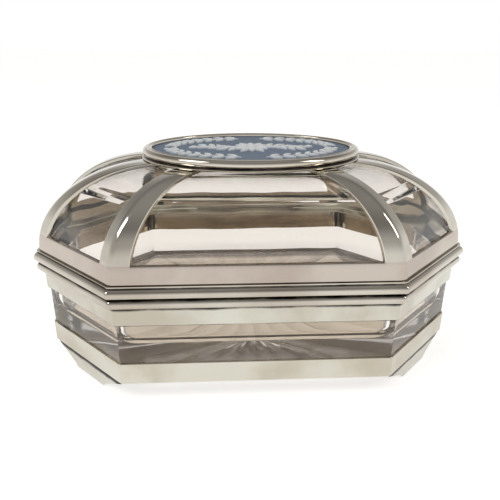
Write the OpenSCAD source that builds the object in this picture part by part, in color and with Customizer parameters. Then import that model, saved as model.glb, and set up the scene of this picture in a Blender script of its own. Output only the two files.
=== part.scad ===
// Glass casket box: a thick octagonal glass bowl and a domed glass lid, both mounted in silver.
// Long side along X, hinge at the back (+Y), +Z up. Origin: centre of the plan, on the surface it stands on.
// Every octagon is the plan outline moved inwards by an inset, and every height is counted from the feet.

/* [Plan] */
// Length over the lid moulding
length = 240; // [220:1:270]
// Width over the lid moulding
width = 150; // [140:1:165]
// Length cut off each side by a 45 degree corner
corner_cut = 48; // [42:1:52]

/* [Base] */
// Height of the four bracket feet
foot_h = 11.2; // [8:0.1:16]
// Thickness of a foot's plate
foot_wall = 2.2; // [1.6:0.1:3]
// Width of a foot's sole
foot_sole = 25; // [18:0.5:32]
// How far a foot stands back from the band above it
foot_setback = 0.8; // [0.3:0.1:2]
// Height of the groove between a foot and the band
foot_groove_h = 1.2; // [0.8:0.1:2]
// Depth of that groove
foot_groove_d = 0.8; // [0.4:0.1:1]
// Height of the base band
band_h = 12; // [8:0.1:16]
// Wall of the base band
band_wall = 1; // [0.8:0.1:1.6]
// Width of the lip that carries the bowl
band_lip = 6; // [3:0.1:8]

/* [Bowl] */
// Inset of the bowl's outer faces
bowl_inset = 5.9; // [5.5:0.1:7]
// Height of the glass bowl
bowl_h = 47.9; // [40:0.1:60]
// Wall of the glass bowl
bowl_wall = 7; // [4:0.1:8]
// Thickness of the bowl's base
bowl_floor = 17; // [10:0.5:22]
// Radius between the well's wall and its floor
well_fillet = 9; // [5:0.1:12]
// Radius of the well's upright corners
well_corner = 12; // [6:0.1:18]
// Number of rays cut in the underside
star_rays = 24; // [16:4:40]
// Depth of each ray
star_depth = 1.2; // [0.6:0.1:2]
// Space between the rays' ends and the lip under the bowl
star_margin = 3; // [1:0.5:6]
// Radius at which the rays run into each other
star_hub = 9; // [6:0.5:12]

/* [Collar and rims] */
// Height of the collar's plain face
collar_h = 10.3; // [7:0.1:14]
// Wall of the collar
collar_wall = 1.6; // [1:0.1:1.6]
// Radius of the half round moulding on each rim
bead_r = 2.7; // [2.2:0.1:2.9]
// Inset of the body's moulding
body_bead_inset = 0.9; // [0.6:0.1:1.5]
// Thickness of the plate over the glass
rim_plate = 1; // [0.8:0.1:1.5]
// Wall of the lid's moulding
rim_wall = 5; // [4.6:0.1:5.4]
// Gap between the closed lid and the body
lid_gap = 0.3; // [0.2:0.05:0.5]
// Height of the step above the lid's moulding
step_h = 1.2; // [0.8:0.1:2]
// Inset of that step
step_inset = 2; // [1.6:0.1:2.4]
// Thickness of the ledge that carries the dome
ledge_t = 1.5; // [1:0.1:2.5]

/* [Dome] */
// Inset of the dome's silver at its foot
dome_inset = 3; // [2.8:0.1:4]
// Height of the silver dome, from its foot to the top of the ribs
dome_h = 45.5; // [38:0.1:56]
// Height of the frieze round the foot of the dome
frieze_h = 9.6; // [6:0.1:14]
// Thickness of the frieze and the ribs
strap_t = 1.9; // [1.6:0.1:3]
// Half width of a rib at its foot, towards a straight side
rib_foot_w = 9.8; // [7:0.1:11]
// Half width of a rib at its foot, towards a corner side
rib_corner_w = 7.4; // [6:0.1:9]
// Half width of a rib at its top
rib_top_w = 6.6; // [5:0.1:7]
// Thickness of the glass dome
dome_wall = 4; // [3:0.1:6]
// Fit between silver and glass
fit = 0.1; // [0.05:0.01:0.15]
// Height of the ring that keeps the dome in its frame
keeper_h = 4; // [3:0.1:6]
// Wall of that ring
keeper_wall = 1; // [0.8:0.1:1.1]

/* [Medallion] */
// Length of the oval frame
oval_length = 122; // [110:1:130]
// Width of the oval frame
oval_width = 82; // [76:1:88]
// Width of the frame's moulding
oval_ring_w = 4.8; // [4.4:0.1:6]
// Height of the frame's moulding
oval_ring_h = 5.8; // [5.4:0.1:6.6]
// Height of the flange at the foot of the frame
flange_h = 1.3; // [0.8:0.1:1.6]
// Width of the seat
seat_w = 7; // [6:0.1:9]
// How far a rib runs under the frame
rib_tuck = 3; // [2:0.1:3.6]
// Where the ribs of the long sides meet the oval, in degrees round it from its end
long_side_rib = 54; // [48:1:60]
// Where the ribs of the short sides meet the oval, in degrees round it from its end
short_side_rib = 18; // [12:1:24]
// Width of the frame's lip over the plaque
plaque_lip = 0.8; // [0.5:0.1:1.2]
// Thickness of the oval plaque
plaque_t = 3.4; // [2.8:0.1:3.6]
// Height of the relief
relief_h = 1.6; // [0.8:0.1:2]
// Length of a rosette leaf
rosette_leaf = 11; // [8:0.5:14]
// Width of a rosette leaf
rosette_leaf_w = 4.2; // [3:0.1:5]
// Length of a laurel leaf
laurel_leaf = 7.6; // [6:0.2:9]
// Width of a laurel leaf
laurel_leaf_w = 3; // [2:0.1:3.6]
// Space between the sprays and the frame
spray_margin = 11; // [7:0.5:13]

/* [Hinge] */
// Outside radius of the hinge tubes
tube_r = 1.9; // [1.8:0.05:2]
// Radius of the hinge pin
pin_r = 0.9; // [0.7:0.05:1]
// Running clearance round the pin
pin_clearance = 0.05; // [0.03:0.01:0.08]
// Number of hinge tubes
tubes = 5; // [3:2:9]
// Length of the hinge
hinge_length = 70; // [50:1:90]
// Gap between two tubes
tube_gap = 0.3; // [0.2:0.05:0.5]
// Clearance round a moving tube
tube_clearance = 0.25; // [0.2:0.05:0.3]
// Thickness of a hinge leaf
leaf_t = 1; // [0.8:0.1:1.2]
// Depth of a hinge leaf from the pin's line
leaf_depth = 3.1; // [2.6:0.1:3.3]
// How far a leaf's face lies inside the tubes' line
leaf_back = 0.15; // [0.1:0.05:0.3]

/* [Hidden] */

silver = [0.80, 0.78, 0.72];
clear_glass = [0.82, 0.84, 0.82, 0.4];
slate_blue = [0.33, 0.41, 0.53];
biscuit_white = [0.86, 0.87, 0.86];

// heights, from the surface that the box stands on
band_z = foot_h;
bowl_z = band_z + rim_plate;
bowl_top = bowl_z + bowl_h;
body_top = bowl_top + fit + rim_plate;
body_bead_z = body_top - bead_r;
collar_top = body_bead_z - bead_r;
lid_z = body_top + lid_gap;
lid_bead_z = lid_z + bead_r;
step_z = lid_bead_z + bead_r;
dome_z = step_z + step_h;
dome_top = dome_z + dome_h;

// insets from the plan outline
band_inset = bowl_inset - band_wall;
collar_inset = bowl_inset - collar_wall;
well_inset = bowl_inset + bowl_wall;
glass_inset = strap_t + fit;
keeper_inset = glass_inset + dome_wall + fit;
ledge_inset = dome_inset + keeper_inset + keeper_wall;

// Corners of the plan moved inwards by an inset, starting at the front left and going anticlockwise from above.
function plan(inset) =
  let (x = length / 2, y = width / 2, k = inset * (sqrt(2) - 1),
       fx = x - corner_cut - k, sy = y - corner_cut - k)
  [[-fx, -(y - inset)], [fx, -(y - inset)], [x - inset, -sy], [x - inset, sy],
   [fx, y - inset], [-fx, y - inset], [-(x - inset), sy], [-(x - inset), -sy]];

// Closed solid through rings of points, each with the same number of points and listed from the bottom up.
// Its two ends may be closed by more than one face, each a list of places in the ring.
module skin(rings, ends = undef) {
  n = len(rings[0]);
  levels = len(rings);
  points = [for (ring = rings) for (p = ring) p];
  faces = is_undef(ends) ? [[for (i = [0 : n - 1]) i]] : ends;
  bottom = faces;
  top = [for (face = faces) [for (i = [len(face) - 1 : -1 : 0]) (levels - 1) * n + face[i]]];
  sides = [for (level = [0 : levels - 2], i = [0 : n - 1])
    let (a = level * n + i, b = level * n + (i + 1) % n)
    for (f = [[a, a + n, b], [b, a + n, b + n]]) f];
  polyhedron(points, concat(bottom, sides, top));
}

// Closed ring through sections of points, the last section joined to the first.
module loop_skin(sections) {
  n = len(sections[0]);
  count = len(sections);
  points = [for (s = sections) for (p = s) p];
  polyhedron(points, [for (k = [0 : count - 1], i = [0 : n - 1])
    let (a = k * n + i, b = k * n + (i + 1) % n,
         c = ((k + 1) % count) * n + i, d = ((k + 1) % count) * n + (i + 1) % n)
    for (f = [[a, c, b], [b, c, d]]) f]);
}

// A moulding round the plan. The profile is a list of [inset, height].
module plan_moulding(profile) {
  loop_skin([for (k = [0 : 7]) [for (p = profile) [plan(p[0])[k][0], plan(p[0])[k][1], p[1]]]]);
}

module plan_prism(inset, z, h) {
  translate([0, 0, z]) linear_extrude(h) polygon(plan(inset));
}

// Half circle of a moulding that bulges outwards, from its top to its foot, as [inset, height].
function bead(inset, z) = [for (a = [90 : -15 : -90]) [inset + bead_r * (1 - cos(a)), z + bead_r * sin(a)]];

// ---------- base ----------

module base_band() {
  color(silver) difference() {
    plan_prism(band_inset, band_z, band_h);
    plan_prism(bowl_inset, bowl_z, band_h);
    plan_prism(bowl_inset + band_lip, band_z - 1, band_h);
  }
}

// The foot stands on the middle of a corner side and runs the side's whole length at its top.
module foot(side_x, side_y) {
  inset = band_inset + foot_setback;
  corners = plan(inset);
  side = norm(corners[2] - corners[1]);
  middle = (corners[2] + corners[1]) / 2;
  turn = side_x * side_y < 0 ? 45 : -45;
  color(silver)
    translate([side_x * middle[0], -side_y * middle[1], 0])
    rotate([90, 0, turn + (side_y > 0 ? 180 : 0)])
    difference() {
      translate([0, 0, -foot_wall]) linear_extrude(foot_wall) polygon(bracket(side));
      translate([-side, foot_h - foot_groove_h, -foot_groove_d])
        cube([2 * side, foot_groove_h + 1, foot_groove_d + 1]);
    }
}

// Outline of a foot: a sole in the middle, and a bowed bracket up to each end of the side.
function bracket(side) =
  let (sole = foot_sole / 2,
       bow = foot_h * 0.22,
       edge = [for (t = [0.15 : 0.15 : 0.9])
         [sole + (side / 2 - sole) * t - bow * sin(180 * t) * 0.5, foot_h * (0.12 + 0.8 * pow(t, 1.15))]])
  concat(
    [[-sole, 0], [sole, 0]], edge,
    [[side / 2, foot_h * 0.93], [side / 2, foot_h], [-side / 2, foot_h], [-side / 2, foot_h * 0.93]],
    [for (i = [len(edge) - 1 : -1 : 0]) [-edge[i][0], edge[i][1]]]
  );

// ---------- bowl ----------

// Plan of the well with its eight upright corners rounded.
function round_plan(inset, r) =
  let (core = plan(inset + r), steps = 5)
  [for (k = [0 : 7])
    let (start = [-112.5, -67.5, -22.5, 22.5, 67.5, 112.5, 157.5, 202.5][k])
    for (s = [0 : steps])
      let (a = start + (s / steps - 0.5) * 45) core[k] + r * [cos(a), sin(a)]];

// Distance from the centre to the plan moved inwards by an inset, in the direction of an angle.
function reach(a, inset) =
  let (x = abs(cos(a)), y = abs(sin(a)), corner = plan(inset)[2])
  min((length / 2 - inset) / x, (width / 2 - inset) / y, (corner[0] - corner[1]) / (x + y));

// Outline of the star cut in the underside, a point at the end of each ray.
function star() = [for (i = [0 : 2 * star_rays - 1])
  let (a = 180 * i / star_rays, r = i % 2 == 0 ? reach(a, bowl_inset + band_lip + star_margin) : star_hub)
  r * [cos(a), sin(a)]];

module bowl_glass() {
  floor_z = bowl_z + bowl_floor;
  levels = concat(
    [for (a = [0 : 15 : 90]) [well_inset + well_fillet * (1 - sin(a)), floor_z + well_fillet * (1 - cos(a))]],
    [[well_inset, bowl_top + 1]]
  );
  color(clear_glass) difference() {
    plan_prism(bowl_inset, bowl_z, bowl_h);
    skin([for (l = levels) [for (p = round_plan(l[0], well_corner - (l[0] - well_inset) * 0.4)) [p[0], p[1], l[1]]]]);
    translate([0, 0, bowl_z - 0.1]) linear_extrude(star_depth + 0.1) polygon(star());
  }
}

// ---------- collar and rims ----------

module collar() {
  color(silver) difference() {
    plan_prism(collar_inset, collar_top - collar_h, collar_h);
    plan_prism(bowl_inset, collar_top - collar_h - 1, collar_h + 2);
  }
}

hinge_y = width / 2 - tube_r;
hinge_z = body_top + lid_gap / 2;
body_leaf_z = hinge_z - tube_r + leaf_back;
lid_leaf_z = hinge_z + tube_r - leaf_back - leaf_t;

module hinge_groove() {
  translate([-hinge_length / 2 - tube_gap, hinge_y, hinge_z])
    rotate([0, 90, 0])
    cylinder(h = hinge_length + 2 * tube_gap, r = tube_r + tube_clearance, $fn = 48);
}

module leaf_slot(z) {
  translate([-hinge_length / 2, hinge_y - leaf_depth, z]) cube([hinge_length, leaf_depth, leaf_t]);
}

module body_rim() {
  profile = concat(
    [[well_inset + 1, body_top]],
    bead(body_bead_inset, body_bead_z),
    [[bowl_inset - fit, collar_top], [bowl_inset - fit, body_top - rim_plate], [well_inset + 1, body_top - rim_plate]]
  );
  color(silver) difference() {
    plan_moulding(profile);
    hinge_groove();
    leaf_slot(body_leaf_z);
  }
}

module lid_rim() {
  profile = concat(
    [[ledge_inset, dome_z], [step_inset, dome_z], [step_inset, step_z]],
    bead(0, lid_bead_z),
    [[rim_wall, lid_z], [rim_wall, dome_z - ledge_t], [ledge_inset, dome_z - ledge_t]]
  );
  color(silver) difference() {
    plan_moulding(profile);
    hinge_groove();
    leaf_slot(lid_leaf_z);
  }
}

// ---------- hinge ----------

tube_pitch = hinge_length / tubes;

module hinge_tubes(first) {
  for (k = [first : 2 : tubes - 1])
    translate([-hinge_length / 2 + k * tube_pitch + tube_gap / 2, hinge_y, hinge_z])
      rotate([0, 90, 0])
      cylinder(h = tube_pitch - tube_gap, r = tube_r, $fn = 48);
}

module clearance_tubes(first) {
  for (k = [first : 2 : tubes - 1])
    translate([-hinge_length / 2 + k * tube_pitch - tube_gap / 2, hinge_y, hinge_z])
      rotate([0, 90, 0])
      cylinder(h = tube_pitch + tube_gap, r = tube_r + tube_clearance, $fn = 48);
}

module hinge_leaf(first, z) {
  color(silver) difference() {
    union() {
      difference() {
        leaf_slot(z);
        clearance_tubes(1 - first);
      }
      hinge_tubes(first);
    }
    translate([-hinge_length, hinge_y, hinge_z])
      rotate([0, 90, 0])
      cylinder(h = 2 * hinge_length, r = pin_r + pin_clearance, $fn = 48);
  }
}

module hinge_leaf_body() hinge_leaf(0, body_leaf_z);

module hinge_leaf_lid() hinge_leaf(1, lid_leaf_z);

module hinge_pin() {
  color(silver)
    translate([-hinge_length / 2, hinge_y, hinge_z])
    rotate([0, 90, 0])
    cylinder(h = hinge_length, r = pin_r, $fn = 48);
}

// ---------- dome ----------

// Where the eight ribs meet the oval: on an ellipse just inside the frame, at these angles from the long axis.
rib_angles = [180 + long_side_rib, -long_side_rib, -short_side_rib, short_side_rib,
  long_side_rib, 180 - long_side_rib, 180 - short_side_rib, 180 + short_side_rib];

function oval_point(a, inset) = [(oval_length / 2 - inset) * cos(a), (oval_width / 2 - inset) * sin(a)];

function crown(k) = oval_point(rib_angles[k], rib_tuck);

// Corner k of the dome at elliptical angle a, on a surface that lies depth below the ribs' outer face.
function dome_point(k, a, depth) =
  let (foot = plan(dome_inset + depth)[k], head = crown(k), s = 1 - cos(a), p = foot + s * (head - foot))
  [p[0], p[1], dome_z + (dome_h - depth) * sin(a)];

function dome_ring(a, depth) = [for (k = [0 : 7]) dome_point(k, a, depth)];

sill_angle = asin(frieze_h / dome_h);

module frieze() {
  angles = [for (i = [0 : 4]) sill_angle * i / 4];
  color(silver) loop_skin([for (k = [0 : 7]) concat(
    [for (i = [4 : -1 : 0]) dome_point(k, angles[i], 0)],
    [for (a = angles) let (p = dome_point(k, asin(sin(a) * dome_h / (dome_h - strap_t)), strap_t)) p]
  )]);
}

// Point on the dome at a distance from corner k towards corner j.
function beside(k, j, a, depth, distance) =
  let (p = dome_point(k, a, depth), q = dome_point(j, a, depth))
  p + (q - p) * distance / norm(q - p);

function rib_width(a, foot_w) = rib_top_w + (foot_w - rib_top_w) * pow(cos(a), 1.5);

module rib(k) {
  steps = 18;
  before = (k + 7) % 8;
  after = (k + 1) % 8;
  sections = [for (i = [0 : steps])
    let (a = sill_angle + (90 - sill_angle) * i / steps,
         inner = i == 0 ? asin(sin(a) * dome_h / (dome_h - strap_t)) : a,
         w = rib_width(a, k % 2 == 0 ? rib_corner_w : rib_foot_w),
         v = rib_width(a, k % 2 == 0 ? rib_foot_w : rib_corner_w))
    [beside(k, before, a, 0, w), dome_point(k, a, 0), beside(k, after, a, 0, v),
     beside(k, after, inner, strap_t, v), dome_point(k, inner, strap_t), beside(k, before, inner, strap_t, w)]];
  color(silver) skin(sections, [[0, 1, 4, 5], [1, 2, 3, 4]]);
}

module dome_glass() {
  outer = [for (i = [0 : 18]) dome_ring(5 * i, glass_inset)];
  inner = [for (i = [0 : 18]) dome_ring(5 * i, glass_inset + dome_wall)];
  lower = [for (p = inner[0]) [p[0], p[1], dome_z - 1]];
  color(clear_glass) difference() {
    skin(outer);
    skin(concat([lower], inner));
  }
}

module dome_keeper() {
  depth = keeper_inset;
  color(silver) plan_moulding([
    [dome_inset + depth + keeper_wall, dome_z + keeper_h],
    [dome_inset + depth + 0.35, dome_z + keeper_h],
    [dome_inset + depth, dome_z],
    [dome_inset + depth + keeper_wall, dome_z]
  ]);
}

// ---------- medallion ----------

// Points of an oval a constant distance inside the frame's outline.
function oval(inset, count = 72) = [for (i = [0 : count - 1])
  let (a = 360 * i / count, p = oval_point(a, 0),
       n = [cos(a) / (oval_length / 2), sin(a) / (oval_width / 2)])
  p - inset * n / norm(n)];

frame_z = dome_top + fit;
frame_top = frame_z + oval_ring_h;
plate_t = 0.8;

module oval_moulding(profile) {
  count = 72;
  loop_skin([for (i = [0 : count - 1]) [for (p = profile) let (q = oval(p[0])[i]) [q[0], q[1], p[1]]]]);
}

// The flat top of the dome is an eight sided figure through the ribs' ends. This is a smaller one inside it.
function crown_plan(inset) = [for (a = rib_angles) oval_point(a, rib_tuck + inset)];

// Flat ring between the glass and the frame. The ribs' ends butt against its eight sides.
module medallion_seat() {
  under = dome_top - glass_inset + fit / 2;
  color(silver) translate([0, 0, under]) linear_extrude(frame_z - under) difference() {
    polygon(crown_plan(fit));
    polygon(crown_plan(seat_w));
  }
}

module medallion_frame() {
  r = (frame_top - frame_z - flange_h) / 2;
  mid = frame_z + flange_h + r;
  color(silver) oval_moulding(concat(
    [[oval_ring_w, plaque_top + fit], [oval_ring_w + plaque_lip, plaque_top + fit],
     [oval_ring_w + plaque_lip, frame_top - 0.5], [oval_ring_w + plaque_lip - 0.4, frame_top - 0.1]],
    [for (a = [90 : -15 : -75]) [0.3 + r * (1 - cos(a)), mid + r * sin(a)]],
    [[0.6, frame_z + flange_h], [0, frame_z + flange_h - 0.4], [0, frame_z + 0.3], [0.4, frame_z],
     [oval_ring_w, frame_z]]
  ));
}

module medallion_backplate() {
  color(silver) translate([0, 0, frame_z]) linear_extrude(plate_t) polygon(oval(oval_ring_w + fit));
}

plaque_z = frame_z + plate_t;
plaque_top = plaque_z + plaque_t;

module plaque() {
  color(slate_blue) translate([0, 0, plaque_z]) linear_extrude(plaque_t) polygon(oval(oval_ring_w + fit));
}

module leaf(l, w) {
  polygon(concat(
    [for (t = [0 : 0.2 : 1]) [l * t, w / 2 * sin(180 * t)]],
    [for (t = [0.8 : -0.2 : 0.2]) [l * t, -w / 2 * sin(180 * t)]]
  ));
}

// Middle line of a laurel spray: it leaves the middle of the back edge and bends round to the plaque's end.
spray_x = oval_length / 2 - oval_ring_w - spray_margin;
spray_y = oval_width / 2 - oval_ring_w - spray_margin;
function spray_point(t, off = 0) = [(spray_x + off) * sin(8 + 74 * t), (spray_y + off) * cos(8 + 74 * t)];

module spray() {
  leaves = 8;
  polygon(concat(
    [for (t = [0 : 0.125 : 1]) spray_point(t, 0.6)],
    [for (t = [1 : -0.125 : 0]) spray_point(t, -0.6)]
  ));
  for (i = [0 : leaves - 1]) {
    a = spray_point((i + 0.3) / leaves);
    b = spray_point((i + 0.8) / leaves);
    turn = atan2(b[1] - a[1], b[0] - a[0]);
    for (side = [-1, 1])
      translate(a) rotate([0, 0, turn + side * 38]) leaf(laurel_leaf * (1 - 0.02 * i), laurel_leaf_w);
  }
  translate(spray_point(0.96)) rotate([0, 0, -76]) leaf(laurel_leaf * 0.8, laurel_leaf_w);
}

// Middle line of a scroll: it waves from the rosette towards the plaque's end.
function scroll_point(t, off = 0) = [5 + (spray_x - 20) * t, 2.4 * sin(330 * t) + off];

module scroll() {
  pairs = 5;
  polygon(concat(
    [for (t = [0 : 0.0625 : 1]) scroll_point(t, 0.6)],
    [for (t = [1 : -0.0625 : 0]) scroll_point(t, -0.6)]
  ));
  for (i = [0 : pairs - 1]) {
    a = scroll_point(0.16 + 0.16 * i);
    b = scroll_point(0.2 + 0.16 * i);
    turn = atan2(b[1] - a[1], b[0] - a[0]);
    for (side = [-1, 1])
      translate(a) rotate([0, 0, turn + side * 42]) leaf(laurel_leaf * (1.1 - 0.1 * i), laurel_leaf_w);
  }
  translate(scroll_point(0.97)) rotate([0, 0, 25]) leaf(laurel_leaf * 0.8, laurel_leaf_w);
}

// Relief of the plaque: a rosette with a scroll on each side, inside four laurel sprays.
module plaque_relief() {
  color(biscuit_white) translate([0, 0, plaque_top]) linear_extrude(relief_h) {
    circle(3.4, $fn = 24);
    for (k = [0 : 11])
      rotate([0, 0, 30 * k]) translate([2.6, 0]) leaf(rosette_leaf * (k % 2 == 0 ? 1 : 0.75), rosette_leaf_w);
    for (turn = [0, 180]) rotate([0, 0, turn]) scroll();
    for (flip_x = [0, 1], flip_y = [0, 1]) mirror([flip_x, 0]) mirror([0, flip_y]) spray();
  }
}

bowl_glass();
base_band();
foot(-1, -1);  // foot_front_left
foot(1, -1);  // foot_front_right
foot(1, 1);  // foot_back_right
foot(-1, 1);  // foot_back_left
collar();
body_rim();
hinge_leaf_body();
hinge_pin();
lid_rim();
hinge_leaf_lid();
frieze();
dome_glass();
dome_keeper();
rib(0);  // rib_front_left
rib(1);  // rib_front_right
rib(2);  // rib_right_front
rib(3);  // rib_right_back
rib(4);  // rib_back_right
rib(5);  // rib_back_left
rib(6);  // rib_left_back
rib(7);  // rib_left_front
medallion_seat();
medallion_frame();
medallion_backplate();
plaque();
plaque_relief();
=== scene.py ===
import math

import bmesh
import bpy
from mathutils import Matrix, Vector


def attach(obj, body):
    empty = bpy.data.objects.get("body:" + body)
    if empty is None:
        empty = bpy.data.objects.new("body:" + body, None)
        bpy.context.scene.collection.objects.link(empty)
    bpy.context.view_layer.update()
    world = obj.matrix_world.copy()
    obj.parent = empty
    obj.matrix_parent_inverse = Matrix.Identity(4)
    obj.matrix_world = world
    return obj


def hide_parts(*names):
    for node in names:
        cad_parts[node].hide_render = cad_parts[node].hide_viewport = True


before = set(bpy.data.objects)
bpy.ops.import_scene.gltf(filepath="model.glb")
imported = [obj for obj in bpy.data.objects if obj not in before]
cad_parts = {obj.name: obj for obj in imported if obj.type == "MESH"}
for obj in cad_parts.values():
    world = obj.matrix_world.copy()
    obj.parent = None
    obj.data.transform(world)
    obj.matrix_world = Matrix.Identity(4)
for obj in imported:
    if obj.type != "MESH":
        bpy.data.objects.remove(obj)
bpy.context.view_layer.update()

# ---------- base band ----------
# A flat band of silver plate round the foot of the glass bowl, drawn as one strip, mitred at the eight
# corners of the plan and soldered. A narrow lip turned in under it carries the bowl.
MM = 0.001
LENGTH = 240.0
WIDTH = 150.0
CORNER_CUT = 48.0
BAND_Z = 11.2
BAND_H = 12.0
BAND_FACE = 4.9
GLASS_SIDE = 5.88
LIP_TOP = BAND_Z + 0.95
LIP_EDGE = 11.9
FILED = 0.3
WELD = 0.000005


def plan(inset):
    """The eight corners of the plan moved inwards, in millimetres, from the front left and anticlockwise."""
    x, y, k = LENGTH / 2, WIDTH / 2, inset * (math.sqrt(2) - 1)
    fx, sy = x - CORNER_CUT - k, y - CORNER_CUT - k
    return [(-fx, -(y - inset)), (fx, -(y - inset)), (x - inset, -sy), (x - inset, sy),
            (fx, y - inset), (-fx, y - inset), (-(x - inset), sy), (-(x - inset), -sy)]


def first_ring(name, ring):
    """A new piece: a circle whose vertices are put on the first ring of points, all selected."""
    bpy.ops.object.select_all(action="DESELECT")
    bpy.ops.mesh.primitive_circle_add(vertices=len(ring), radius=0.1, fill_type="NOTHING")
    piece = bpy.context.object
    piece.name = name
    bpy.ops.object.mode_set(mode="EDIT")
    mesh = bmesh.from_edit_mesh(piece.data)
    mesh.verts.ensure_lookup_table()
    for v, p in zip(mesh.verts, ring):
        v.co = Vector(p) * MM
    bmesh.update_edit_mesh(piece.data)
    bpy.ops.mesh.select_all(action="SELECT")
    return piece


def move_ring(piece, before, after):
    """Moves the selected ring of vertices, each from its place in one list to that in the next."""
    mesh = bmesh.from_edit_mesh(piece.data)
    places = [Vector(p) * MM for p in before]
    for v in [v for v in mesh.verts if v.select]:
        i = min(range(len(places)), key=lambda j: (places[j] - v.co).length_squared)
        v.co = Vector(after[i]) * MM
    bmesh.update_edit_mesh(piece.data)


def draw_through(piece, rings):
    """Extrudes the selected ring through the rest of the rings."""
    for before, after in zip(rings, rings[1:]):
        bpy.ops.mesh.extrude_region_move()
        move_ring(piece, before, after)


def pick_open_edges(piece):
    """Selects the edges where the piece is still open."""
    bpy.ops.mesh.select_mode(type="EDGE")
    bpy.ops.mesh.select_all(action="DESELECT")
    mesh = bmesh.from_edit_mesh(piece.data)
    for e in mesh.edges:
        if len(e.link_faces) < 2:
            e.select_set(True)
    bmesh.update_edit_mesh(piece.data)


def join_ends(piece):
    """Joins the last ring to the first."""
    pick_open_edges(piece)
    bpy.ops.mesh.bridge_edge_loops()
    bpy.ops.mesh.select_mode(type="VERT")


def round_mitres(piece, width):
    """Rounds the eight upright corners, where the mitred strips meet, as solder and polishing leave them."""
    near, short = 0.02 * MM, 30 * MM

    def on_mitre(corner, along, ends):
        return all(abs((p - corner).cross(along)) < near and (p - corner).length < short for p in ends)

    bpy.ops.mesh.select_mode(type="EDGE")
    bpy.ops.mesh.select_all(action="DESELECT")
    mitres = [(Vector(a) * MM, (Vector(b) - Vector(a)).normalized()) for a, b in zip(plan(0), plan(10))]
    mesh = bmesh.from_edit_mesh(piece.data)
    for e in mesh.edges:
        ends = [v.co.to_2d() for v in e.verts]
        e.select_set(any(on_mitre(corner, along, ends) for corner, along in mitres))
    bmesh.update_edit_mesh(piece.data)
    bpy.ops.mesh.bevel(offset=width * MM, segments=4, clamp_overlap=False)
    bpy.ops.mesh.select_mode(type="VERT")


def soft_edges(piece, width=0.0, segments=2, angle=32, smooth=30, mitre=0.0):
    """Outward faces, a small rounding along the sharp edges, and smooth shading between gentle facets."""
    bpy.ops.object.mode_set(mode="OBJECT")
    bpy.ops.object.select_all(action="DESELECT")
    piece.select_set(True)
    bpy.context.view_layer.objects.active = piece
    bpy.ops.object.mode_set(mode="EDIT")
    bpy.ops.mesh.select_all(action="SELECT")
    bpy.ops.mesh.remove_doubles(threshold=WELD)
    bpy.ops.mesh.normals_make_consistent(inside=False)
    if mitre:
        round_mitres(piece, mitre)
    bpy.ops.object.mode_set(mode="OBJECT")
    if width:
        bevel = piece.modifiers.new("rounding", "BEVEL")
        bevel.width = width * MM
        bevel.segments = segments
        bevel.limit_method = "ANGLE"
        bevel.angle_limit = math.radians(angle)
        bpy.ops.object.modifier_apply(modifier=bevel.name)
    bpy.ops.object.shade_smooth_by_angle(angle=math.radians(smooth))
    flats = piece.modifiers.new("flat faces", "WEIGHTED_NORMAL")
    flats.keep_sharp = True
    bpy.ops.object.modifier_apply(modifier=flats.name)


def moulding(name, profile, outline, **edges):
    """A closed moulding: a profile of (inset, height) carried round an outline, its two ends joined."""
    rings = [[(x, y, z) for x, y in outline(inset)] for inset, z in profile]
    piece = first_ring(name, rings[0])
    draw_through(piece, rings)
    join_ends(piece)
    soft_edges(piece, **edges)
    return piece


def finish_piece(piece, body, material, slot, *nodes):
    """Gives the piece its finish, its body and the nodes that it stands for."""
    piece.data.materials.clear()
    piece.data.materials.append(material)
    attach(piece, body)
    if nodes:
        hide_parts(*nodes)


def feed(tree, node, given):
    """Gives each input of a node its value, or joins it to what another node puts out."""
    for socket, value in given.items():
        if isinstance(value, bpy.types.NodeSocket):
            tree.links.new(value, node.inputs[socket])
        else:
            node.inputs[socket].default_value = value


def add_node(tree, kind, given=None, **settings):
    """A new node with its settings, and its inputs fed."""
    node = tree.nodes.new(kind)
    for name, value in settings.items():
        setattr(node, name, value)
    feed(tree, node, given or {})
    return node


def place_on(tree):
    """The place on the piece, from which every pattern is worked out."""
    return add_node(tree, "ShaderNodeTexCoord").outputs["Object"]


def height_on(tree):
    """How high a place on the piece lies, in metres."""
    return add_node(tree, "ShaderNodeSeparateXYZ", {0: place_on(tree)}).outputs["Z"]


def cloud(tree, place, scale, detail=2, stretch=None, turn=(0, 0, 0)):
    """Soft noise, drawn out and turned where it has a stretch."""
    if stretch:
        given = {"Vector": place, "Scale": stretch, "Rotation": turn}
        place = add_node(tree, "ShaderNodeMapping", given).outputs["Vector"]
    given = {"Vector": place, "Scale": scale, "Detail": detail}
    return add_node(tree, "ShaderNodeTexNoise", given).outputs["Fac"]


def between(tree, value, low, high, to_low=0, to_high=1, ease="SMOOTHSTEP"):
    """Passes from one number to another while a value goes from low to high."""
    given = {"Value": value, "From Min": low, "From Max": high, "To Min": to_low, "To Max": to_high}
    return add_node(tree, "ShaderNodeMapRange", given, interpolation_type=ease).outputs["Result"]


def sums(tree, kind, *values):
    """One step of arithmetic on numbers, or on what other nodes put out."""
    return add_node(tree, "ShaderNodeMath", dict(enumerate(values)), operation=kind).outputs[0]


def blend(tree, share, a, b):
    """One colour passing into another by a share."""
    given = {"Factor": share, "A": a, "B": b}
    return add_node(tree, "ShaderNodeMix", given, data_type="RGBA").outputs["Result"]


def raised(tree, height, distance):
    """The surface's direction where a height moves it by up to a distance."""
    return add_node(tree, "ShaderNodeBump", {"Height": height, "Distance": distance}).outputs["Normal"]


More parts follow.
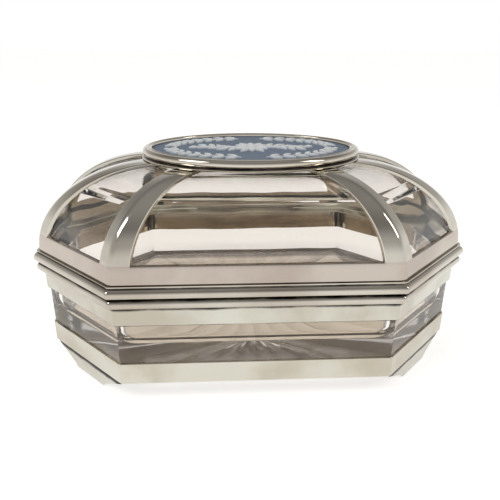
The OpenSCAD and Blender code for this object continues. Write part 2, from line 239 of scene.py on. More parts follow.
def new_group(name, inputs, outputs):
    """An effect that several finishes use, with its inputs and outputs."""
    group = bpy.data.node_groups.new(name, "ShaderNodeTree")
    for label, kind, value in inputs:
        socket = group.interface.new_socket(label, in_out="INPUT", socket_type="NodeSocket" + kind)
        socket.default_value = value
    for label, kind in outputs:
        group.interface.new_socket(label, in_out="OUTPUT", socket_type="NodeSocket" + kind)
    return group, add_node(group, "NodeGroupInput").outputs, add_node(group, "NodeGroupOutput")


def wear_group():
    """Polished plate that has been handled: hairline scratches two ways, smears, and a bloom of tarnish."""
    group, given, out = new_group(
        "handled_silver",
        [("Clean Color", "Color", (0.8, 0.8, 0.8, 1)), ("Bloom Color", "Color", (0.5, 0.4, 0.3, 1)),
         ("Bloom", "Float", 0.5), ("Polish", "Float", 0.08)],
        [("Color", "Color"), ("Roughness", "Float"), ("Height", "Float")])
    place = place_on(group)
    hair_a = between(group, cloud(group, place, 60, 2, (3, 60, 60), (0.3, 0.2, 0.5)), 0.62, 0.75)
    hair_b = between(group, cloud(group, place, 60, 2, (60, 4, 50), (0.1, 0.6, 1.1)), 0.64, 0.77)
    hair = sums(group, "MAXIMUM", hair_a, hair_b)
    smear = between(group, cloud(group, place, 38, 4), 0.35, 0.7)
    bloom = between(group, cloud(group, place, 22, 6), 0.42, 0.68)
    rough = sums(group, "MULTIPLY_ADD", smear, 0.07, given["Polish"])
    ripple = sums(group, "MULTIPLY", cloud(group, place, 28, 1), 0.35)
    bloom = sums(group, "MULTIPLY", bloom, given["Bloom"])
    feed(group, out, {
        "Color": blend(group, bloom, given["Clean Color"], given["Bloom Color"]),
        "Roughness": sums(group, "MULTIPLY_ADD", hair, 0.06, rough),
        "Height": sums(group, "MULTIPLY_ADD", hair, -0.003, ripple)})
    return group


def shade_and_tarnish_line_group():
    """A black line at one height: painted shade in the crevice there, and tarnish where a polishing cloth
    does not reach.
    """
    group, given, out = new_group("shade_and_tarnish_line", [("Height", "Float", 0.06), ("Reach", "Float", 0.0005)],
                                  [("Mask", "Float")])
    away = sums(group, "ABSOLUTE", sums(group, "SUBTRACT", height_on(group), given["Height"]))
    near = sums(group, "DIVIDE", away, given["Reach"])
    uneven = sums(group, "MULTIPLY_ADD", cloud(group, place_on(group), 90), 0.9, near)
    feed(group, out, {"Mask": between(group, uneven, 0.75, 1.35, 1, 0)})
    return group


handled, shade_and_tarnish_line = wear_group(), shade_and_tarnish_line_group()
# near black, for the painted shade and tarnish of the crevice lines
SHADE_AND_TARNISH = (0.025, 0.022, 0.020, 1)


def new_finish(name):
    """A new material, with its nodes and its surface."""
    material = bpy.data.materials.new(name)
    material.use_nodes = True
    return material, material.node_tree, material.node_tree.nodes["Principled BSDF"]


def silver(name, clean, bloomed, bloom, polish, ripple, lines=()):
    """Polished silver plate with its own colour, tarnish and polish. Ripple is how far from flat it was
    raised, and lines are the heights of its crevices, each with the reach of the painted shade and tarnish
    there."""
    material, tree, plate = new_finish(name)
    wear = add_node(tree, "ShaderNodeGroup", {
        "Clean Color": (*clean, 1), "Bloom Color": (*bloomed, 1), "Bloom": bloom, "Polish": polish},
        node_tree=handled).outputs
    color = wear["Color"]
    # each line darkens the colour: painted shade in that crevice, with tarnish
    for height, spread in lines:
        line = add_node(tree, "ShaderNodeGroup", {"Height": height * MM, "Reach": spread * MM},
                        node_tree=shade_and_tarnish_line)
        color = blend(tree, line.outputs["Mask"], color, SHADE_AND_TARNISH)
    feed(tree, plate, {"Metallic": 1, "Base Color": color, "Roughness": wear["Roughness"],
                       "Normal": raised(tree, wear["Height"], ripple)})
    return material


plate_silver = silver("silver_plate", clean=(0.64, 0.62, 0.54), bloomed=(0.44, 0.38, 0.29), bloom=0.7,
                      polish=0.09, ripple=0.0008)
dull_silver = silver("silver_behind_glass", clean=(0.52, 0.43, 0.30), bloomed=(0.36, 0.28, 0.18), bloom=0.8,
                     polish=0.10, ripple=0.0012)
INWARD = -0.3


def faces_in(face):
    """Whether a face looks towards the middle of the casket."""
    return face.normal.to_2d().dot(face.center.to_2d().normalized()) < INWARD


def dull_inside(piece):
    """The faces that lie against the glass are never polished, and go brown."""
    piece.data.materials.append(dull_silver)
    for face in piece.data.polygons:
        on_lip = face.normal.z > 0.9 and face.center.z < (BAND_Z + 1.8) * MM
        if faces_in(face) or on_lip:
            face.material_index = 1


band = moulding("band_drawn", [
    (BAND_FACE, BAND_Z + FILED), (BAND_FACE, BAND_Z + BAND_H - FILED), (BAND_FACE + 0.2, BAND_Z + BAND_H),
    (GLASS_SIDE, BAND_Z + BAND_H), (GLASS_SIDE, LIP_TOP), (LIP_EDGE, LIP_TOP), (LIP_EDGE, BAND_Z),
    (BAND_FACE + FILED, BAND_Z)], plan, width=0.12, mitre=0.7)
finish_piece(band, "body", plate_silver, "silver", "base_band")
dull_inside(band)

# ---------- feet ----------
# Four bracket feet of thicker plate, one under each cut corner, sawn to a narrow sole with a bowed bracket up
# to each side. They are soldered under the band, a little way behind its face, with a groove along the top.


def eased_copy(node, name, width=0.0, mitre=0.0):
    """The node's own shape, its edges eased by a width as a file leaves them, and its mitres rounded."""
    piece = bpy.data.objects.new(name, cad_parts[node].data.copy())
    bpy.context.scene.collection.objects.link(piece)
    bpy.ops.object.select_all(action="DESELECT")
    piece.select_set(True)
    bpy.context.view_layer.objects.active = piece
    bpy.ops.object.mode_set(mode="EDIT")
    bpy.ops.mesh.select_all(action="SELECT")
    bpy.ops.mesh.remove_doubles(threshold=WELD)
    bpy.ops.mesh.dissolve_limited(angle_limit=math.radians(1))
    soft_edges(piece, width, mitre=mitre)
    return piece


# the dark line along the top of each foot, under the band, is painted shade in the groove there, with tarnish
foot_silver = silver("silver_foot", clean=(0.62, 0.60, 0.54), bloomed=(0.45, 0.40, 0.32), bloom=0.6,
                     polish=0.12, ripple=0.0010, lines=[(BAND_Z - 1.2, 2.7)])
for corner in ("front_left", "front_right", "back_right", "back_left"):
    foot = eased_copy("foot_" + corner, "bracket_foot_" + corner, width=0.3)
    finish_piece(foot, "body", foot_silver, "silver", "foot_" + corner)

# ---------- bowl ----------
# One block of thick clear glass, pressed and then cut and polished: eight flat sides outside, a well with
# round corners inside, and a star of V cuts ground into the underside. It stands on the lip of the band.
BOWL_Z = 12.2
BOWL_TOP = 60.1
BOWL_INSET = 5.95
BOWL_EDGE = 0.4
WELL_INSET = 12.9
WELL_FLOOR = 29.2
WELL_CORNER = 12
WELL_FOOT = 9
WELL_EDGE = 0.5
WELL_STEPS = 6
RAYS = 24
STAR_DEPTH = 0.9
STAR_INSET = 14.9
STAR_SHARES = (0.88, 0.5, 0.12, 0.03)


def reach(a, inset):
    """How far the inset plan lies from the centre in a direction."""
    corner = plan(inset)[2]
    x, y = max(abs(math.cos(a)), 1e-6), max(abs(math.sin(a)), 1e-6)
    return min((LENGTH / 2 - inset) / x, (WIDTH / 2 - inset) / y, (corner[0] - corner[1]) / (x + y))


# each ray and each ridge has its angle, and the plan's own corners come in between them
star_angles = sorted([(math.pi * i / RAYS, i % 2 == 0) for i in range(2 * RAYS)]
                     + [(math.atan2(y, x) % (2 * math.pi), None) for x, y in plan(BOWL_INSET)])


def bowl_ring(inset, z):
    """The outside of the bowl at one height, with a point for every ray of the star."""
    return [(reach(a, inset) * math.cos(a), reach(a, inset) * math.sin(a), z) for a, cut in star_angles]


def star_ring(share, depth):
    """A ring of the star: rays cut up into the glass, ridges left on the underside."""
    ring = []
    for a, cut in star_angles:
        r = reach(a, STAR_INSET) * share
        ring.append((r * math.cos(a), r * math.sin(a), BOWL_Z + (depth if cut else 0)))
    return ring


def well_ring(inset, radius, z):
    """The well's outline with its eight upright corners rounded."""
    ring = []
    for k, (x, y) in enumerate(plan(inset + radius)):
        for s in range(WELL_STEPS + 1):
            a = math.radians(-112.5 + 45 * k + (s / WELL_STEPS - 0.5) * 45)
            ring.append((x + radius * math.cos(a), y + radius * math.sin(a), z))
    return ring


outside = [bowl_ring(BOWL_INSET + BOWL_EDGE, BOWL_TOP), bowl_ring(BOWL_INSET, BOWL_TOP - BOWL_EDGE),
           bowl_ring(BOWL_INSET, BOWL_Z + 0.5), bowl_ring(BOWL_INSET + 0.5, BOWL_Z), star_ring(1.0, 0)]
outside += [star_ring(share, STAR_DEPTH) for share in STAR_SHARES]
well = [well_ring(WELL_INSET - WELL_EDGE, WELL_CORNER + WELL_EDGE, BOWL_TOP),
        well_ring(WELL_INSET, WELL_CORNER, BOWL_TOP - WELL_EDGE)]
for a in range(90, -1, -10):
    lean = WELL_FOOT * (1 - math.sin(math.radians(a)))
    z = WELL_FLOOR + WELL_FOOT * (1 - math.cos(math.radians(a)))
    well.append(well_ring(WELL_INSET + lean, WELL_CORNER - lean * 0.4, z))
bowl = first_ring("bowl_cut", outside[0])
draw_through(bowl, outside)
bpy.ops.mesh.merge(type="CENTER")
bpy.ops.mesh.select_all(action="DESELECT")
mesh = bmesh.from_edit_mesh(bowl.data)
loop = [mesh.verts.new(Vector(p) * MM) for p in well[0]]
for v, w in zip(loop, loop[1:] + loop[:1]):
    mesh.edges.new((v, w)).select = True
mesh.select_flush_mode()
bmesh.update_edit_mesh(bowl.data)
draw_through(bowl, well)
bpy.ops.mesh.edge_face_add()
join_ends(bowl)
soft_edges(bowl, smooth=28)


def clear_glass(name, tint, polish, ripple):
    """Clear pressed glass. Light on its way through to the floor is let by, so that the shadow stays pale."""
    material, tree, glass = new_finish(name)
    feed(tree, glass, {"Base Color": (*tint, 1), "Roughness": polish, "Transmission Weight": 1, "IOR": 1.5,
                       "Normal": raised(tree, cloud(tree, place_on(tree), 30, 1), ripple)})
    path = add_node(tree, "ShaderNodeLightPath")
    passing = add_node(tree, "ShaderNodeBsdfTransparent", {"Color": (0.86, 0.86, 0.85, 1)})
    either = add_node(tree, "ShaderNodeMixShader", {0: path.outputs["Is Shadow Ray"], 1: glass.outputs[0],
                                                    2: passing.outputs[0]})
    feed(tree, tree.nodes["Material Output"], {"Surface": either.outputs[0]})
    return material


def star_glass():
    """The star's ground faces, left half matt and tinted brown, each ray painted with shade from dark on one
    side to light on the other.
    """
    material = clear_glass("bowl_glass_ground", tint=(0.50, 0.43, 0.34), polish=0.16, ripple=0.0004)
    tree = material.node_tree
    # painted shade: across each ray the brown goes from dark to light, as the cut's facets would be lit
    turn = add_node(tree, "ShaderNodeTexGradient", {"Vector": place_on(tree)}, gradient_type="RADIAL")
    across = sums(tree, "FRACT", sums(tree, "MULTIPLY", turn.outputs["Fac"], RAYS))
    painted_light_share = between(tree, across, 0.2, 0.8, ease="LINEAR")
    painted_ray_shade = blend(tree, painted_light_share, (0.60, 0.46, 0.31, 1), (0.76, 0.61, 0.44, 1))
    feed(tree, tree.nodes["Principled BSDF"], {"Transmission Weight": 0.7, "Base Color": painted_ray_shade})
    return material


bowl_clear = clear_glass("bowl_glass_clear", tint=(0.92, 0.895, 0.86), polish=0.0, ripple=0.0006)
finish_piece(bowl, "body", bowl_clear, "clear_glass", "bowl_glass")
bowl.data.materials.append(star_glass())
for face in bowl.data.polygons:
    if face.center.z < (BOWL_Z + STAR_DEPTH + 0.1) * MM and face.normal.z < -0.5:
        face.material_index = 1

# ---------- collar and body rim ----------
# A plain collar grips the top of the bowl. Above it runs a half round moulding, and a flat plate turned in
# over the glass's top edge, all mitred at the corners like the band.
COLLAR_TOP = 55.8
COLLAR_FOOT = COLLAR_TOP - 10.3
COLLAR_FACE = 4.3
BODY_TOP = 61.2
MEETING = BODY_TOP + 0.15
LID_STEP = 67.2
# the dark lines at the collar's top, where lid and body meet and at the lid's step are painted shade in those
# joints, with tarnish
rim_silver = silver("silver_rim", clean=(0.58, 0.545, 0.48), bloomed=(0.36, 0.30, 0.24), bloom=0.5,
                    polish=0.06, ripple=0.0005,
                    lines=[(COLLAR_TOP - 0.1, 0.7), (MEETING, 1.5), (LID_STEP, 0.5)])
# the wide dark line at the collar's top is painted shadow under the moulding above it, and the line at its
# foot painted shade in the joint
collar_silver = silver("silver_collar", clean=(0.62, 0.61, 0.54), bloomed=(0.43, 0.38, 0.30), bloom=0.7,
                       polish=0.09, ripple=0.0008, lines=[(COLLAR_TOP - 0.1, 2.5), (COLLAR_FOOT, 0.7)])


def keep_bright(piece, facing=0):
    """The flat faces where lid and body meet are rubbed bright, and those inside stay clean."""
    piece.data.materials.append(plate_silver)
    for face in piece.data.polygons:
        meeting = face.normal.z * facing > 0.95 and abs(face.center.z - MEETING * MM) < 0.3 * MM
        if meeting or faces_in(face):
            face.material_index = 1


collar = moulding("collar_drawn", [
    (COLLAR_FACE, COLLAR_TOP), (COLLAR_FACE, COLLAR_FOOT + FILED), (COLLAR_FACE + FILED, COLLAR_FOOT),
    (GLASS_SIDE, COLLAR_FOOT), (GLASS_SIDE, COLLAR_TOP)], plan, width=0.12, mitre=0.7)
finish_piece(collar, "body", collar_silver, "silver", "collar")
dull_inside(collar)
body_rim = eased_copy("body_rim", "rim_of_body", mitre=0.9)
finish_piece(body_rim, "body", rim_silver, "silver", "body_rim")
keep_bright(body_rim, 1)

# ---------- hinge ----------
# A long flush hinge along the back: two leaves let into the rims, tubes turn and turn about, and one pin.
# The pin is fixed in the body's tubes, and the lid's tubes turn on it.
for node, name, body in (("hinge_leaf_body", "leaf_of_body", "body"), ("hinge_pin", "pin_of_hinge", "body"),
                         ("hinge_leaf_lid", "leaf_of_lid", "lid")):
    piece = eased_copy(node, name)
    finish_piece(piece, body, rim_silver, "silver", node)

# ---------- lid rim ----------
# The lid's own half round moulding, with a small step above it and a ledge inside that the dome stands on.
# It is mitred and soldered like the body's rim, and closes down on it.
lid_rim = eased_copy("lid_rim", "rim_of_lid", mitre=0.9)
finish_piece(lid_rim, "lid", rim_silver, "silver", "lid_rim")
keep_bright(lid_rim, -1)

# ---------- dome ----------
# The lid's glass: one moulded dome of eight curved panels, clear and fairly thick, that narrows from the
# octagon at its foot to the oval of the medallion.
DOME_Z = 68.1
DOME_H = 45.5
DOME_INSET = 3.0
GLASS_DEPTH = 2.05
GLASS_WALL = 4.0
DOME_STEPS = 40
OVAL = (61.0, 41.0)
TUCK = 3.0
RIB_TURNS = (234, -54, -18, 18, 54, 126, 162, 198)


def crown(k):
    """Where the arris from corner k ends, under the medallion."""
    a = math.radians(RIB_TURNS[k])
    return ((OVAL[0] - TUCK) * math.cos(a), (OVAL[1] - TUCK) * math.sin(a))


def dome_point(k, turn, depth):
    """Corner k of the dome at an angle round its curve, at a depth under the straps' face."""
    foot, head, s = plan(DOME_INSET + depth)[k], crown(k), 1 - math.cos(turn)
    return (foot[0] + s * (head[0] - foot[0]), foot[1] + s * (head[1] - foot[1]),
            DOME_Z + (DOME_H - depth) * math.sin(turn))


def dome_rings(depth):
    """The dome from foot to crown, at a depth under the straps' face."""
    return [[dome_point(k, math.pi / 2 * i / DOME_STEPS, depth) for k in range(8)]
            for i in range(DOME_STEPS + 1)]


outer, inner = dome_rings(GLASS_DEPTH), dome_rings(GLASS_DEPTH + GLASS_WALL)
dome = first_ring("dome_moulded", inner[-1])
bpy.ops.mesh.edge_face_add()
bpy.ops.mesh.select_all(action="SELECT")
draw_through(dome, list(reversed(inner)) + outer)
soft_edges(dome, width=0.5, segments=3, angle=26, smooth=24)
dome_clear = clear_glass("dome_glass_clear", tint=(0.93, 0.905, 0.88), polish=0.0, ripple=0.0008)
finish_piece(dome, "lid", dome_clear, "clear_glass", "dome_glass")

# ---------- dome keeper ----------
# A thin ring of silver plate inside the lid's rim. It presses the dome's foot against the frieze, and so
# keeps the glass in its frame.
keeper = eased_copy("dome_keeper", "keeper_ring")
finish_piece(keeper, "lid", plate_silver, "silver", "dome_keeper")

# ---------- frieze ----------
# A plain band round the foot of the dome, raised to its curve. Its top edge is rounded between the straps
# and left square where they are soldered on, so that band and strap run into one face.
FRIEZE_H = 9.6
FRIEZE_STEPS = 14
FRIEZE_LIP = ((0.94, 0.02), (0.965, 0.09), (0.985, 0.22), (1, 0.5))
SILL = math.asin(FRIEZE_H / DOME_H)
SKIN = 0.1
STRAP = 1.9
STRAP_CLEAR = 0.02
LIP_CLEAR = 0.35
STRAP_HEAD = 6.6
STRAP_FOOT = (7.4, 9.8)
FOLD = 2.1
FOLD_STEPS = (0, 0.16, 0.33, 0.5, 0.67, 0.84, 1)
LIFT = (DOME_H - SKIN) / (DOME_H - STRAP)


def beside(k, j, turn, depth, distance):
    """A point on the dome, a distance from corner k towards corner j."""
    p, q = Vector(dome_point(k, turn, depth)), Vector(dome_point(j, turn, depth))
    return tuple(p + (q - p).normalized() * distance)


def folded(k, turn, depth):
    """The points across a fold, whose arris is rounded."""
    arris = Vector(dome_point(k, turn, depth))
    before, after = ((Vector(dome_point(j % 8, turn, depth)) - arris).normalized() * FOLD
                     for j in (k + 7, k + 1))
    return [tuple(arris + before * (1 - t) ** 2 + after * t ** 2) for t in FOLD_STEPS]


def strap_widths(k, turn):
    """How far a strap reaches from its fold towards the corner before it and towards the one after it."""
    corner_side, straight_side = (STRAP_HEAD + (foot - STRAP_HEAD) * math.cos(turn) ** 1.5
                                  for foot in STRAP_FOOT)
    return (corner_side, straight_side) if k % 2 == 0 else (straight_side, corner_side)


def frieze_ring(turn, depth, between_straps):
    """A ring of the frieze: one depth at and beside the straps, and another between them."""
    ring = []
    for k in range(8):
        before, after = (k + 7) % 8, (k + 1) % 8
        w, v = strap_widths(k, SILL)
        ring += [beside(k, before, turn, between_straps, w + LIP_CLEAR),
                 beside(k, before, turn, depth, w + STRAP_CLEAR)]
        ring += folded(k, turn, depth)
        ring += [beside(k, after, turn, depth, v + STRAP_CLEAR),
                 beside(k, after, turn, between_straps, v + LIP_CLEAR)]
    return ring


frieze_rings = [frieze_ring(0, SKIN + 0.2, SKIN + 0.2)]
frieze_rings += [frieze_ring(SILL * i / FRIEZE_STEPS, SKIN, SKIN) for i in (0.3, *range(1, 13))]
frieze_rings += [frieze_ring(SILL * t, SKIN, SKIN + d) for t, d in FRIEZE_LIP]
frieze_rings += [frieze_ring(math.asin(math.sin(SILL * i / 6) * LIFT), STRAP, STRAP)
                 for i in range(6, -1, -1)]
frieze = first_ring("frieze_raised", frieze_rings[0])
draw_through(frieze, frieze_rings)
join_ends(frieze)
soft_edges(frieze, smooth=34)
# the dark line at the frieze's foot is painted shade in the joint with the lid's rim, with tarnish
frieze_silver = silver("silver_frieze", clean=(0.52, 0.465, 0.41), bloomed=(0.34, 0.27, 0.23), bloom=0.5,
                       polish=0.05, ripple=0.0012, lines=[(DOME_Z - 0.1, 0.5)])
finish_piece(frieze, "lid", frieze_silver, "silver", "frieze")
keep_bright(frieze)

# ---------- ribs ----------
# Eight straps of silver plate, folded along the middle to sit over the dome's arrises and bent to its
# curve. They are soldered to the frieze below and butt against the medallion's seat above. Their edges
# beside the glass are rounded.
RIB_NAMES = ("front_left", "front_right", "right_front", "right_back",
             "back_right", "back_left", "left_back", "left_front")
RIB_STEPS = 60
ROUNDED = ((0.0, 0.75), (0.06, 0.36), (0.3, 0.1), (0.75, 0.0))
rib_silver = silver("silver_strap", clean=(0.60, 0.57, 0.50), bloomed=(0.38, 0.32, 0.26), bloom=0.45,
                    polish=0.05, ripple=0.0009)


def rib_ring(k, i):
    """The outline of strap k at one step up its curve: over the fold, and back under it against the glass."""
    before, after = (k + 7) % 8, (k + 1) % 8
    turn = SILL + (math.pi / 2 - SILL) * i / RIB_STEPS
    under = math.asin(min(1, math.sin(turn) * LIFT)) if i == 0 else turn
    w, v = strap_widths(k, turn)
    return ([beside(k, before, turn, SKIN + d, w - r) for r, d in ROUNDED]
            + folded(k, turn, SKIN)
            + [beside(k, after, turn, SKIN + d, v - r) for r, d in reversed(ROUNDED)]
            + [beside(k, after, under, STRAP, v), dome_point(k, under, STRAP),
               beside(k, before, under, STRAP, w)])


for k, name in enumerate(RIB_NAMES):
    rings = [rib_ring(k, i) for i in range(RIB_STEPS + 1)]
    rib = first_ring("strap_" + name, rings[0])
    draw_through(rib, rings)
    pick_open_edges(rib)
    bpy.ops.mesh.edge_face_add()
    bpy.ops.mesh.select_mode(type="VERT")
    soft_edges(rib, smooth=26)
    finish_piece(rib, "lid", rib_silver, "silver", "rib_" + name)

# ---------- medallion seat, frame and backplate ----------
# The medallion's oval moulding, drawn in silver plate, stands on a plain eight sided seat, which lies on the
# glass and which the straps' upper ends butt against. A thin plate lies behind the plaque.
FRAME_Z = DOME_Z + DOME_H + 0.1
FRAME_TOP = FRAME_Z + 5.8
TORUS = 2.25


def oval(inset, count=120):
    """Points of an oval that lies a distance inside the frame's outline."""
    ring = []
    for i in range(count):
        a = 2 * math.pi * i / count
        n = Vector((math.cos(a) / OVAL[0], math.sin(a) / OVAL[1])).normalized()
        ring.append((OVAL[0] * math.cos(a) - inset * n.x, OVAL[1] * math.sin(a) - inset * n.y))
    return ring


def torus_point(angle):
    """A point of the frame's round moulding, from below its middle line to above it."""
    a = math.radians(angle)
    return 0.3 + TORUS * (1 - math.cos(a)), FRAME_Z + 1.3 + TORUS * (1 + math.sin(a))


seat = eased_copy("medallion_seat", "seat_of_medallion")
finish_piece(seat, "lid", plate_silver, "silver", "medallion_seat")
frame_profile = [(4.8, FRAME_Z), (0.35, FRAME_Z), (0.1, FRAME_Z + 0.15), (0.0, FRAME_Z + 0.45),
                 (0.12, FRAME_Z + 0.75), (0.5, FRAME_Z + 0.95), (1.5, FRAME_Z + 1.05),
                 (1.55, FRAME_Z + 1.35)]
frame_profile += [torus_point(angle) for angle in range(-60, 61, 10)]
frame_profile += [(2.0, FRAME_TOP - 0.12), (2.7, FRAME_TOP), (3.3, FRAME_TOP - 0.05),
                  (3.6, FRAME_TOP - 0.45), (4.0, FRAME_TOP - 0.5), (4.3, FRAME_TOP - 0.12), (4.7, FRAME_TOP),
                  (5.2, FRAME_TOP - 0.1), (5.55, FRAME_TOP - 0.5), (5.6, FRAME_TOP - 1.5),
                  (4.8, FRAME_TOP - 1.5)]
# the dark line under the round moulding is painted shade in the groove there, with tarnish
frame_silver = silver("silver_frame", clean=(0.58, 0.54, 0.47), bloomed=(0.36, 0.30, 0.23), bloom=0.5,
                      polish=0.05, ripple=0.0006, lines=[(FRAME_Z + 1.15, 0.35)])
frame_ring = moulding("medallion_moulding", frame_profile, oval, smooth=40)
finish_piece(frame_ring, "lid", frame_silver, "silver", "medallion_frame")
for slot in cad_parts["medallion_backplate"].material_slots:
    slot.material = plate_silver

# ---------- plaque and relief ----------
# An oval tile of unglazed stoneware, slate blue in the body, with white sprigs pressed in moulds and laid on
# by hand before firing: a rosette between two scrolls and four laurel sprays.
PLAQUE_TOP = FRAME_Z + 4.2
RELIEF = 1.58
SPRIG_SIDES = 16
SPRIG_LEVELS = ((1.0, 0.0), (0.97, 0.3), (0.84, 0.68), (0.55, 0.94))
STEM_STEPS = 14
SPRAY_OVAL = (45.2, 25.2)
SCROLL_START = 5
SCROLL_RUN = 25.2
SCROLL_WAVE = 2.4
ROSETTE_LEAVES = 12
ROSETTE_HOLE = 2.2
BOSS = 5.4


def stoneware(name, color, darker, grain, roughness):
    """Unglazed stoneware: matt, finely grained, a little uneven in colour."""
    material, tree, body = new_finish(name)
    place = place_on(tree)
    feed(tree, body, {"Base Color": blend(tree, cloud(tree, place, 60, 5), (*color, 1), (*darker, 1)),
                      "Roughness": roughness, "Normal": raised(tree, cloud(tree, place, 2500), grain)})
    return material


def thin_white_and_painted_shade(material):
    """The white darkens towards the blue at the foot of each sprig: partly the blue showing through thin
    white, and partly painted shade at the foot.
    """
    tree = material.node_tree
    color = tree.nodes["Principled BSDF"].inputs["Base Color"]
    # bluish grey at the foot, white at the top: painted shade low on each sprig, and the blue through the
    # thin white
    thickness_and_light = between(tree, height_on(tree), PLAQUE_TOP * MM, (PLAQUE_TOP + 1.35) * MM, ease="LINEAR")
    feed(tree, tree.nodes["Principled BSDF"], {
        "Base Color": blend(tree, thickness_and_light, (0.40, 0.44, 0.50, 1), color.links[0].from_socket)})


blue_body = stoneware("stoneware_blue", color=(0.155, 0.20, 0.27), darker=(0.125, 0.165, 0.225),
                      grain=0.00008, roughness=0.62)
white_body = stoneware("stoneware_white", color=(0.80, 0.81, 0.80), darker=(0.70, 0.72, 0.72),
                       grain=0.00006, roughness=0.55)
thin_white_and_painted_shade(white_body)
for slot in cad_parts["plaque"].material_slots:
    slot.material = blue_body


def sprig(x, y, turn, length, width, height, bend=0.0, point=1.0):
    """One pressed leaf: a mound with a blunt base, a pointed tip and a slightly bent middle line."""
    rings = []
    for size, level in SPRIG_LEVELS:
        ring = []
        for i in range(SPRIG_SIDES):
            a = 2 * math.pi * i / SPRIG_SIDES
            along = 0.5 + 0.5 * math.cos(a) * size
            across = 0.5 * width * math.sin(a) * size * (1 - 0.55 * point * max(0, math.cos(a)))
            u, v = along * length, across + bend * math.sin(math.pi * along)
            ring.append((x + u * math.cos(turn) - v * math.sin(turn),
                         y + u * math.sin(turn) + v * math.cos(turn), PLAQUE_TOP + height * level))
        rings.append(ring)
    piece = first_ring("sprig", rings[0])
    bpy.ops.mesh.edge_face_add()
    bpy.ops.mesh.select_all(action="SELECT")
    draw_through(piece, rings)
    bpy.ops.mesh.merge(type="CENTER")
    middle = next(v for v in bmesh.from_edit_mesh(piece.data).verts if v.select)
    middle.co.z = (PLAQUE_TOP + height) * MM
    bpy.ops.object.mode_set(mode="OBJECT")
    return piece


def spray_place(t):
    """The middle line of one of the four sprays, from the middle of the long edge to the end."""
    a = math.radians(8 + 74 * t)
    return Vector((SPRAY_OVAL[0] * math.sin(a), SPRAY_OVAL[1] * math.cos(a)))


def scroll_place(t):
    """The middle line of one of the two scrolls, from the rosette outwards."""
    return Vector((SCROLL_START + SCROLL_RUN * t, SCROLL_WAVE * math.sin(math.radians(330 * t))))


def leaves_along(place, count, first, step, length, width, spread):
    """Where the leaves of a stem stand: pairs at a spread to both sides of it, with a berry between."""
    found = []
    for i in range(count):
        a, b = place(first + step * i), place(first + step * i + 0.03)
        turn = math.atan2(b.y - a.y, b.x - a.x)
        for side in (-1, 1):
            found.append((a.x, a.y, turn + side * math.radians(spread), length * (1 - 0.03 * i), width,
                          RELIEF * 0.86, side * 0.5))
        found.append((a.x - 0.3, a.y, turn, 2.6, 2.2, RELIEF, 0.0))
    return found


four_ways = [(1, 1), (1, -1), (-1, 1), (-1, -1)]
spray = leaves_along(spray_place, count=8, first=0.04, step=0.125, length=7.4, width=3.0, spread=37)
scroll = leaves_along(scroll_place, count=5, first=0.16, step=0.16, length=8.0, width=3.4, spread=42)
marks = []
for mirror_x, mirror_y in four_ways:
    for x, y, turn, length, width, height, bend in spray:
        turn = turn if mirror_x > 0 else math.pi - turn
        turn = turn if mirror_y > 0 else -turn
        marks.append((x * mirror_x, y * mirror_y, turn, length, width, height, bend * mirror_x * mirror_y))
for half in (0, math.pi):
    for x, y, turn, length, width, height, bend in scroll:
        marks.append((x * math.cos(half), y * math.cos(half), turn + half, length, width, height, bend))
    way = math.cos(half)
    marks.append((29.5 * way, -0.6 * way, half + 0.3, 6.0, 3.0, RELIEF, 0.0))
for k in range(ROSETTE_LEAVES):
    a = 2 * math.pi * k / ROSETTE_LEAVES
    x, y = ROSETTE_HOLE * math.cos(a), ROSETTE_HOLE * math.sin(a)
    length, share = (10.8, 0.8) if k % 2 == 0 else (8.2, 0.95)
    marks.append((x, y, a, length, 4.4, RELIEF * share, 0.0))
marks.append((-BOSS / 2, 0, 0, BOSS, BOSS, RELIEF, 0.0))
leaves = [sprig(*mark) for mark in marks]
stems = []
for place, mirrors in ((spray_place, four_ways), (scroll_place, [(1, 1), (-1, -1)])):
    for mirror_x, mirror_y in mirrors:
        for i in range(STEM_STEPS):
            a, b = place(i / STEM_STEPS), place((i + 1) / STEM_STEPS)
            step = b - a
            turn = math.atan2(step.y * mirror_y, step.x * mirror_x)
            stems.append(sprig(a.x * mirror_x, a.y * mirror_y, turn, step.length * 1.25, 1.1, RELIEF * 0.6,
                               point=0.0))
bpy.ops.object.select_all(action="DESELECT")
for piece in leaves + stems:
    piece.select_set(True)
relief = leaves[0]
bpy.context.view_layer.objects.active = relief
bpy.ops.object.join()
relief.name = "sprigs"
soft_edges(relief, smooth=50)
finish_piece(relief, "lid", white_body, "white_biscuit", "plaque_relief")

# ---------- floor and walls ----------
# A pale floor under white walls and a dimmer ceiling. Silver and glass show the same floor, walls and
# ceiling that the camera looks at, and the floor keeps the box's shadow.
FLOOR_SIZE = 12
FLOOR_GLOW = 0.67
ALL_ROUND_LIGHT = 0.55
LOWEST = -0.2
WALLS = ((LOWEST, (1, 1, 1)), (0.1, (1, 1, 1)), (0.4, (0.55, 0.54, 0.53)), (0.7, (0.26, 0.255, 0.25)),
         (1.0, (0.36, 0.355, 0.35)))


def looked_at(tree):
    """One for what is seen straight, mirrored in silver or through glass, and nothing for other light."""
    path = add_node(tree, "ShaderNodeLightPath").outputs
    either = sums(tree, "MAXIMUM", path["Is Glossy Ray"], path["Is Transmission Ray"])
    return sums(tree, "MAXIMUM", either, path["Is Camera Ray"])


bpy.ops.object.select_all(action="DESELECT")
bpy.ops.mesh.primitive_plane_add(size=FLOOR_SIZE)
floor = bpy.context.object
floor.name = "floor"
floor_paper, tree, paper = new_finish("floor_paper")
feed(tree, paper, {"Base Color": (0.60, 0.59, 0.57, 1), "Roughness": 1, "Specular IOR Level": 0,
                   "Emission Color": (1, 1, 1, 1),
                   "Emission Strength": sums(tree, "MULTIPLY", looked_at(tree), FLOOR_GLOW)})
floor.data.materials.append(floor_paper)

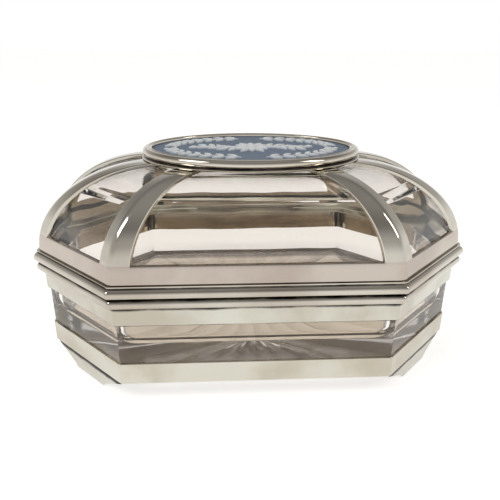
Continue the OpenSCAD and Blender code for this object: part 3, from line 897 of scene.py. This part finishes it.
world = bpy.data.worlds.new("studio")
bpy.context.scene.world = world
world.use_nodes = True
tree = world.node_tree
outward = add_node(tree, "ShaderNodeTexCoord").outputs["Generated"]
rise = add_node(tree, "ShaderNodeSeparateXYZ", {0: outward}).outputs["Z"]
walls = add_node(tree, "ShaderNodeValToRGB", {"Fac": between(tree, rise, LOWEST, 1.0, ease="LINEAR")})
walls.color_ramp.interpolation = "EASE"
for _ in WALLS[2:]:
    walls.color_ramp.elements.new(0.5)
for element, (height, color) in zip(walls.color_ramp.elements, WALLS):
    element.position = (height - LOWEST) / (1.0 - LOWEST)
    element.color = (*color, 1)
light = tree.nodes["Background"]
feed(tree, light, {"Color": (1, 1, 1, 1), "Strength": ALL_ROUND_LIGHT})
studio = add_node(tree, "ShaderNodeBackground", {"Color": walls.outputs["Color"]})
either = add_node(tree, "ShaderNodeMixShader",
                  {0: looked_at(tree), 1: light.outputs[0], 2: studio.outputs[0]})
feed(tree, tree.nodes["World Output"], {"Surface": either.outputs[0]})

# ---------- soft boxes ----------
# Two soft boxes, a square one on the left and a tall one on the right, both aimed at the middle of the
# casket. They give the silver its highlights and the casket its soft shadow.
AIM = (0, 0, 0.06)


def softbox(name, place, size, watts, color):
    """A soft box that lights the casket and shows in its silver, but not to the camera."""
    lamp = bpy.data.lights.new(name, "AREA")
    lamp.shape = "RECTANGLE"
    lamp.size, lamp.size_y = size
    lamp.energy = watts
    lamp.color = color
    box = bpy.data.objects.new(name, lamp)
    bpy.context.scene.collection.objects.link(box)
    box.location = place
    box.rotation_euler = (Vector(AIM) - Vector(place)).to_track_quat("-Z", "Y").to_euler()
    box.visible_camera = False


softbox("box_left", place=(-0.8, -0.5, 1.0), size=(0.45, 0.45), watts=4.0, color=(1.0, 0.99, 0.97))
softbox("box_right", place=(0.9, -0.5, 0.9), size=(0.25, 0.6), watts=2.5, color=(1.0, 0.97, 0.92))

# ---------- camera ----------
# It stands close in front of the casket and a little to its left, and looks down on it.
EYE = (-17.0, -290.06, 177.5)
YAW, PITCH, ROLL = -0.0576, 0.398, 0.0075
PICTURE_SIDE = 500
FOCAL_PIXELS = 515.2
SENSOR = 36
eye = Vector(EYE) * MM
ahead = Vector((-math.sin(YAW) * math.cos(PITCH), math.cos(YAW) * math.cos(PITCH), -math.sin(PITCH)))
level = Vector((math.cos(YAW), math.sin(YAW), 0))
upright = level.cross(ahead)
right = math.cos(ROLL) * level + math.sin(ROLL) * upright
up = -math.sin(ROLL) * level + math.cos(ROLL) * upright
lens = bpy.data.cameras.new("camera")
lens.sensor_width = SENSOR
lens.lens = FOCAL_PIXELS / PICTURE_SIDE * SENSOR
lens.clip_start = 0.02
camera = bpy.data.objects.new("camera", lens)
bpy.context.scene.collection.objects.link(camera)
camera.matrix_world = Matrix(((right.x, up.x, -ahead.x, eye.x), (right.y, up.y, -ahead.y, eye.y),
                              (right.z, up.z, -ahead.z, eye.z), (0, 0, 0, 1)))
bpy.context.scene.camera = camera
bpy.context.scene.view_settings.view_transform = "Standard"
